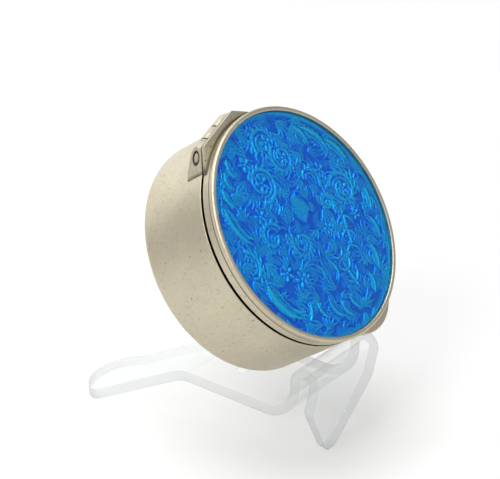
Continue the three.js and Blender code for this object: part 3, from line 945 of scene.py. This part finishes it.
def engraved_ground():
    radius = ENAMEL_RADIUS - HAIR
    bpy.ops.mesh.primitive_grid_add(
        x_subdivisions=GROUND_CELLS,
        y_subdivisions=GROUND_CELLS,
        size=2 * radius * MM,
        location=(0, 0, GROUND_TOP * MM),
    )
    ground = named("engraved_ground")
    bpy.ops.object.transform_apply(location=True, rotation=True, scale=True)
    mesh = ground.data
    cell = 2 * radius / GROUND_CELLS
    places = points_of(mesh)
    away = np.hypot(places[:, 0], places[:, 1])
    rim = radius - 0.2 * cell
    edit(ground)
    bpy.ops.mesh.select_all(action="DESELECT")
    done()
    outside = away > radius + 0.72 * cell
    mesh.vertices.foreach_set("select", outside)
    bpy.context.tool_settings.mesh_select_mode = (True, False, False)
    bpy.ops.object.mode_set(mode="EDIT")
    bpy.ops.mesh.delete(type="VERT")
    done()
    places = points_of(mesh)
    away = np.hypot(places[:, 0], places[:, 1])
    inward = np.where(away > rim, rim / np.maximum(away, 1e-6), 1.0)
    places[:, :2] *= inward[:, None]
    height, cut = engraved_height(places[:, :2] / ENAMEL_RADIUS)
    places[:, 2] += RELIEF * height - GROOVE * cut
    mesh.vertices.foreach_set("co", (places * MM).ravel())
    mesh.update()
    raised = mesh.attributes.new("raised", "FLOAT", "POINT")
    raised.data.foreach_set("value", height - 0.5 * cut)
    smooth(ground, 180)
    return lay_in_place(ground, "lid", "silver")


# Finishes

BRIGHT_SILVER = (0.67, 0.61, 0.48, 1)
DULL_SILVER = (0.5, 0.448, 0.328, 1)
TARNISH = (0.3, 0.26, 0.18, 1)
HINGE_SILVER = (0.6, 0.55, 0.45, 1)
HINGE_TARNISH = (0.2, 0.165, 0.1, 1)
SPECK = (0.12, 0.1, 0.07, 1)
# The next three colours are painted shade, with some dirt, in the lid's groove, the seam gap and the
# hinge's gaps
GROOVE_SHADE_AND_DIRT = (0.08, 0.065, 0.035, 1)
SEAM_SHADE_AND_DIRT = (0.003, 0.003, 0.002, 1)
HINGE_SHADE_AND_DIRT = (0.03, 0.024, 0.012, 1)
DEEP_CUT = (0.05, 0.15, 0.8, 1)
SHALLOW_CUT = (0.2, 0.42, 1.0, 1)
POLISHED_CUT = (1.0, 1.0, 1.0, 1)
GLASS_LETS_THROUGH = (0.0, 0.935, 0.995, 1)
GLASS_DENSITY = 3400
# Painted shade for the clear sheet: a grey laid on by alpha, lighter face on, darker along its edges
ACRYLIC_FACE_SHADE = (0.66, 0.71, 0.7, 1)
ACRYLIC_EDGE_SHADE = (0.42, 0.46, 0.46, 1)


class Value:
    """A number or colour that varies over a surface; sums on it add the nodes."""

    def __init__(self, finish, socket):
        self.finish = finish
        self.socket = socket

    def __add__(self, other):
        return self.finish.maths("ADD", self, other)

    __radd__ = __add__

    def __mul__(self, other):
        return self.finish.maths("MULTIPLY", self, other)

    __rmul__ = __mul__

    def __sub__(self, other):
        return self.finish.maths("SUBTRACT", self, other)

    def __rsub__(self, other):
        return self.finish.maths("SUBTRACT", other, self)


class Finish:
    """A material, and the nodes that this object's finishes are made of."""

    def __init__(self, name):
        self.material = bpy.data.materials.new(name)
        self.material.use_nodes = True
        self.tree = self.material.node_tree
        self.shader = self.tree.nodes["Principled BSDF"]

    def feed(self, socket, value):
        if isinstance(value, Value):
            self.tree.links.new(value.socket, socket)
        else:
            socket.default_value = value

    def node(self, kind, settings=None, values=None, output=0):
        node = self.tree.nodes.new(kind)
        for key, value in (settings or {}).items():
            setattr(node, key, value)
        for key, value in (values or {}).items():
            self.feed(node.inputs[key], value)
        return Value(self, node.outputs[output])

    def maths(self, operation, first, second):
        return self.node("ShaderNodeMath", {"operation": operation}, {0: first, 1: second})

    def clamp(self, value, low=0.0, high=1.0, start=0.0, end=1.0):
        return self.node(
            "ShaderNodeMapRange",
            {"clamp": True},
            {"Value": value, "From Min": low, "From Max": high, "To Min": start, "To Max": end},
        )

    def blend(self, share, first, second):
        settings = {"data_type": "RGBA"}
        return self.node("ShaderNodeMix", settings, {"Factor": share, 6: first, 7: second}, 2)

    def attribute(self, name, output="Fac"):
        settings = {"attribute_name": name, "attribute_type": "GEOMETRY"}
        return self.node("ShaderNodeAttribute", settings, output=output)

    def place(self):
        """Each point's place on the upright box, in millimetres."""
        return self.attribute("upright", "Vector")

    def from_axis(self, place):
        """The distance from the upright box's axis."""
        flat = self.stretched(place, (1, 1, 0))
        return self.node("ShaderNodeVectorMath", {"operation": "LENGTH"}, {0: flat}, "Value")

    def stretched(self, place, scale, turn=(0, 0, 0)):
        return self.node("ShaderNodeMapping", None, {"Vector": place, "Scale": scale, "Rotation": turn})

    def noise(self, place, scale, detail=4.0, rough=0.55):
        values = {"Vector": place, "Scale": scale, "Detail": detail, "Roughness": rough}
        return self.node("ShaderNodeTexNoise", None, values)

    def bump(self, height, distance, strength=1.0):
        values = {"Height": height, "Distance": distance, "Strength": strength}
        return self.node("ShaderNodeBump", None, values)

    def set(self, **values):
        for key, value in values.items():
            self.feed(self.shader.inputs[key.replace("_", " ")], value)
        return self

    def put_on(self, *pieces):
        for piece in pieces:
            piece.data.materials.clear()
            piece.data.materials.append(self.material)


def within(finish, value, low, high, soft):
    """1 between two values, fading out over a soft edge."""
    return finish.clamp(value, low - soft, low) * finish.clamp(value, high, high + soft, 1.0, 0.0)


def hinge_shade_and_dirt(finish, place, height, from_middle):
    """Painted shade, with some dirt, round the pin's ends, between the knuckles and where the lid's leaf
    meets the wall.
    """
    at_hinge = finish.stretched(place, (1, 1, 1), (0, 0, -HINGE_TURN))
    across = finish.node("ShaderNodeSeparateXYZ", None, {"Vector": at_hinge}, output="X")
    middle = (0, HINGE_AXIS_RADIUS, HINGE_AXIS_HEIGHT)
    from_pin = finish.node("ShaderNodeVectorMath", {"operation": "SUBTRACT"}, {0: at_hinge, 1: middle})
    flat = finish.stretched(from_pin, (0, 1, 1))
    away = finish.node("ShaderNodeVectorMath", {"operation": "LENGTH"}, {0: flat}, "Value")
    ring = within(finish, away, PIN_RADIUS - 0.04, PIN_RADIUS + PIN_CLEARANCE + 0.12, 0.08)
    start, end = MIDDLE_KNUCKLE
    first = within(finish, across, start - KNUCKLE_GAP, start, 0.1)
    second = within(finish, across, end, end + KNUCKLE_GAP, 0.1)
    on_barrel = finish.clamp(away, BARREL_RADIUS, BARREL_RADIUS + 0.15, 1.0, 0.0)
    under_leaf = finish.clamp(height, LID_BOTTOM - 0.25, LID_BOTTOM - 0.05, 1.0, 0.0)
    join = finish.clamp(from_middle, LID_RADIUS, LID_RADIUS + 0.3, 1.0, 0.0) * (1.0 - under_leaf)
    foot = finish.clamp(from_middle, BODY_RADIUS + 0.06, BODY_RADIUS + 0.2, 1.0, 0.0) * under_leaf
    return finish.clamp(ring + (first + second) * on_barrel + join * 0.8 + foot * 0.7)


def satin_silver(name, bright, dull, tarnish, worn=1.0, hinge=False):
    """Old satin silver: blotches, grain, fine scratches, pits, and painted shade with some dirt in the
    seam and the groove.
    """
    finish = Finish(name)
    place = finish.place()
    height = finish.node("ShaderNodeSeparateXYZ", None, {"Vector": place}, output="Z")
    away = finish.from_axis(place)
    cloud = finish.clamp(finish.noise(place, scale=0.16, detail=3.0), 0.3, 0.7)
    blotch = finish.clamp(finish.noise(place, scale=1.9, detail=5.0, rough=0.7), 0.46, 0.74)
    grain = finish.clamp(finish.noise(place, scale=6.0, detail=5.0, rough=0.75), 0.3, 0.7)
    speck = finish.clamp(finish.noise(place, scale=1.9, detail=2.0, rough=0.6), 0.67, 0.72)
    one_way = finish.stretched(place, scale=(1.2, 14, 9), turn=(0.4, 0.3, 0.9))
    other_way = finish.stretched(place, scale=(13, 1.1, 10), turn=(1.1, 0.2, 0.4))
    first = finish.noise(one_way, scale=1.0, detail=3.0)
    second = finish.noise(other_way, scale=1.0, detail=3.0)
    scratch = finish.clamp(first, 0.63, 0.7) + finish.clamp(second, 0.64, 0.71)
    bead_bottom = BOX_HEIGHT - BEAD_HEIGHT
    # Painted shade, with some dirt, darkens the seam gap between the body and the lid almost to black
    seam = within(finish, height, BODY_HEIGHT - 0.01, LID_BOTTOM + 0.01, 0.05)
    # Painted shade, with some dirt, darkens the groove under the lid's bead
    groove = within(finish, height, bead_bottom - GROOVE_HEIGHT - 0.03, bead_bottom + 0.02, 0.09)
    groove = groove * finish.clamp(away, LID_RADIUS, LID_RADIUS + 0.05, 1.0, 0.0)
    seam = seam * finish.clamp(away, BODY_RADIUS - 0.14, BODY_RADIUS - 0.06, 1.0, 0.0)
    colour = finish.blend(0.35 + cloud * 0.5, dull, bright)
    colour = finish.blend(blotch * 0.28 * worn, colour, tarnish)
    colour = finish.blend(grain * 0.5, colour, dull)
    colour = finish.blend(speck * 0.55 * worn, colour, SPECK)
    colour = finish.blend(groove * 0.85, colour, GROOVE_SHADE_AND_DIRT)
    colour = finish.blend(seam, colour, SEAM_SHADE_AND_DIRT)
    if hinge:
        # Painted shade, with some dirt, in the hinge's gaps and where its leaves meet the wall
        shade_and_dirt = hinge_shade_and_dirt(finish, place, height, away)
        colour = finish.blend(shade_and_dirt * 0.9, colour, HINGE_SHADE_AND_DIRT)
    rough = 0.36 + blotch * 0.08 + grain * 0.1 - finish.clamp(scratch) * 0.06 + seam * 0.3
    relief = grain * 0.6 - scratch * 0.35 - speck * 0.8
    finish.set(
        Base_Color=colour,
        Roughness=rough,
        Metallic=1.0,
        Normal=finish.bump(relief, distance=0.04 * MM, strength=0.6),
    )
    return finish


def engraved_silver():
    """Bright cut silver; the deeper it is cut, the bluer it looks under the glass."""
    finish = Finish("engraved silver")
    raised = finish.attribute("raised")
    place = finish.place()
    grain = finish.noise(place, scale=2.2, detail=5.0, rough=0.65)
    cloud = finish.clamp(finish.noise(place, scale=0.16, detail=2.0), 0.3, 0.7)
    share = finish.clamp(raised * 1.3 + grain * 0.3 + cloud * 0.3 - 0.5)
    low = finish.clamp(raised, -0.5, 0.2)
    ground = finish.blend(low, DEEP_CUT, SHALLOW_CUT)
    finish.set(
        Base_Color=finish.blend(share, ground, POLISHED_CUT),
        Roughness=0.3 + grain * 0.1,
        Metallic=0.7,
        Normal=finish.bump(grain, distance=0.06 * MM, strength=0.6),
    )
    return finish


def blue_enamel():
    """Clear glass that takes the red out of the light, the more the deeper it is."""
    finish = Finish("blue enamel glass")
    finish.set(Base_Color=(1, 1, 1, 1), Roughness=0.02, IOR=1.3, Transmission_Weight=1.0)
    absorb = finish.tree.nodes.new("ShaderNodeVolumeAbsorption")
    absorb.inputs["Color"].default_value = GLASS_LETS_THROUGH
    absorb.inputs["Density"].default_value = GLASS_DENSITY
    finish.tree.links.new(absorb.outputs[0], finish.tree.nodes["Material Output"].inputs["Volume"])
    return finish


def clear_acrylic():
    """Clear sheet: almost unseen face on, with a painted grey shade where it turns away and along its
    edges, in place of refraction.
    """
    finish = Finish("clear acrylic")
    turning = finish.node("ShaderNodeLayerWeight", None, {"Blend": 0.35}, output="Facing")
    line = finish.clamp(finish.attribute("border"), 0.84, 0.98)
    finish.set(
        Base_Color=finish.blend(line, ACRYLIC_FACE_SHADE, ACRYLIC_EDGE_SHADE),
        Roughness=0.04,
        IOR=1.49,
        Alpha=finish.clamp(turning, 0.3, 1.0, 0.05, 0.6) + line * 0.22,
    )
    return finish


# Stage and camera

# The camera's offsets and distance from the middle of the enamel are in millimetres
PHOTO_WIDTH = 500
FOCAL_PIXELS = 2300
AZIMUTH = math.radians(-52.7)
ELEVATION = math.radians(23)
TO_THE_RIGHT = 8.51
UPWARDS = 2.50
AWAY = 351
ENAMEL_MIDDLE = BOX_HEIGHT - 0.45


def camera():
    right = Vector((math.cos(AZIMUTH), math.sin(AZIMUTH), 0))
    back = Vector((
        math.sin(AZIMUTH) * math.cos(ELEVATION),
        -math.cos(AZIMUTH) * math.cos(ELEVATION),
        math.sin(ELEVATION),
    ))
    up = back.cross(right)
    target = box_place @ Vector((0, 0, ENAMEL_MIDDLE * MM))
    place = target - (right * TO_THE_RIGHT + up * UPWARDS - back * AWAY) * MM
    bpy.ops.object.camera_add(location=place)
    eye = bpy.context.object
    eye.rotation_mode = "QUATERNION"
    eye.rotation_quaternion = Matrix((right, up, back)).transposed().to_quaternion()
    eye.data.sensor_width = 36
    eye.data.lens = FOCAL_PIXELS / PHOTO_WIDTH * eye.data.sensor_width
    bpy.context.scene.camera = eye


def floor():
    """Plain white paper, a hair under the easel."""
    bpy.ops.mesh.primitive_plane_add(size=4, location=(0, 0, -0.00005))
    ground = named("floor")
    finish = Finish("white paper")
    place = finish.node("ShaderNodeTexCoord", output="Object")
    tone = finish.noise(place, 30.0, 3.0)
    finish.set(
        Base_Color=finish.blend(tone, (0.5, 0.5, 0.5, 1), (0.52, 0.52, 0.52, 1)),
        Roughness=0.9,
        Emission_Color=(1, 1, 1, 1),
        Emission_Strength=0.34,
    )
    finish.put_on(ground)


def grey_card():
    """A card that stands behind the box, out of view, and shows in the satin wall."""
    facing_box = (math.pi / 2, 0, math.radians(31))
    bpy.ops.mesh.primitive_plane_add(size=0.25, location=(-0.28, 0.44, 0.127), rotation=facing_box)
    card = named("grey_card")
    card.visible_camera = False
    bpy.ops.object.transform_apply(location=True, rotation=True, scale=True)
    finish = Finish("grey card")
    place = finish.node("ShaderNodeTexCoord", output="Object")
    tone = finish.noise(place, 20.0, 2.0)
    finish.set(Base_Color=finish.blend(tone, (0.1, 0.09, 0.08, 1), (0.13, 0.12, 0.1, 1)), Roughness=0.9)
    finish.put_on(card)


def light(name, place, target, size, power):
    bpy.ops.object.light_add(type="AREA", location=place)
    lamp = bpy.context.object
    lamp.name = name
    lamp.data.shape = "RECTANGLE"
    lamp.data.size, lamp.data.size_y = size
    lamp.data.energy = power
    way = Vector(target) - Vector(place)
    lamp.rotation_euler = way.to_track_quat("-Z", "Y").to_euler()


def studio():
    world = bpy.data.worlds.new("studio")
    bpy.context.scene.world = world
    world.use_nodes = True
    background = world.node_tree.nodes["Background"]
    background.inputs[0].default_value = (1, 1, 1, 1)
    background.inputs[1].default_value = 0.5
    middle = (0, 0, 0.03)
    light("overhead", (-0.05, 0.1, 0.7), middle, (0.45, 0.45), 3.2)
    light("backdrop", (0.1, 0.6, 0.3), middle, (1.0, 0.55), 1.8)
    light("left window", (-0.6, -0.1, 0.5), middle, (0.25, 0.25), 2.4)
    bpy.context.scene.view_settings.view_transform = "Standard"


def pill_box():
    body = silver_body()
    lid = silver_lid()
    ground = engraved_ground()
    glass = blue_glass()
    hinge = [body_hinge(), lid_hinge(), hinge_pin()]
    thumb = thumb_crescent()
    satin = satin_silver("satin silver", BRIGHT_SILVER, DULL_SILVER, TARNISH)
    satin.put_on(body, lid, thumb)
    worn = satin_silver("hinge silver", HINGE_SILVER, DULL_SILVER, HINGE_TARNISH, worn=1.5, hinge=True)
    worn.put_on(*hinge)
    engraved_silver().put_on(ground)
    blue_enamel().put_on(glass)


camera()
floor()
grey_card()
studio()
pill_box()
clear_acrylic().put_on(clear_easel())
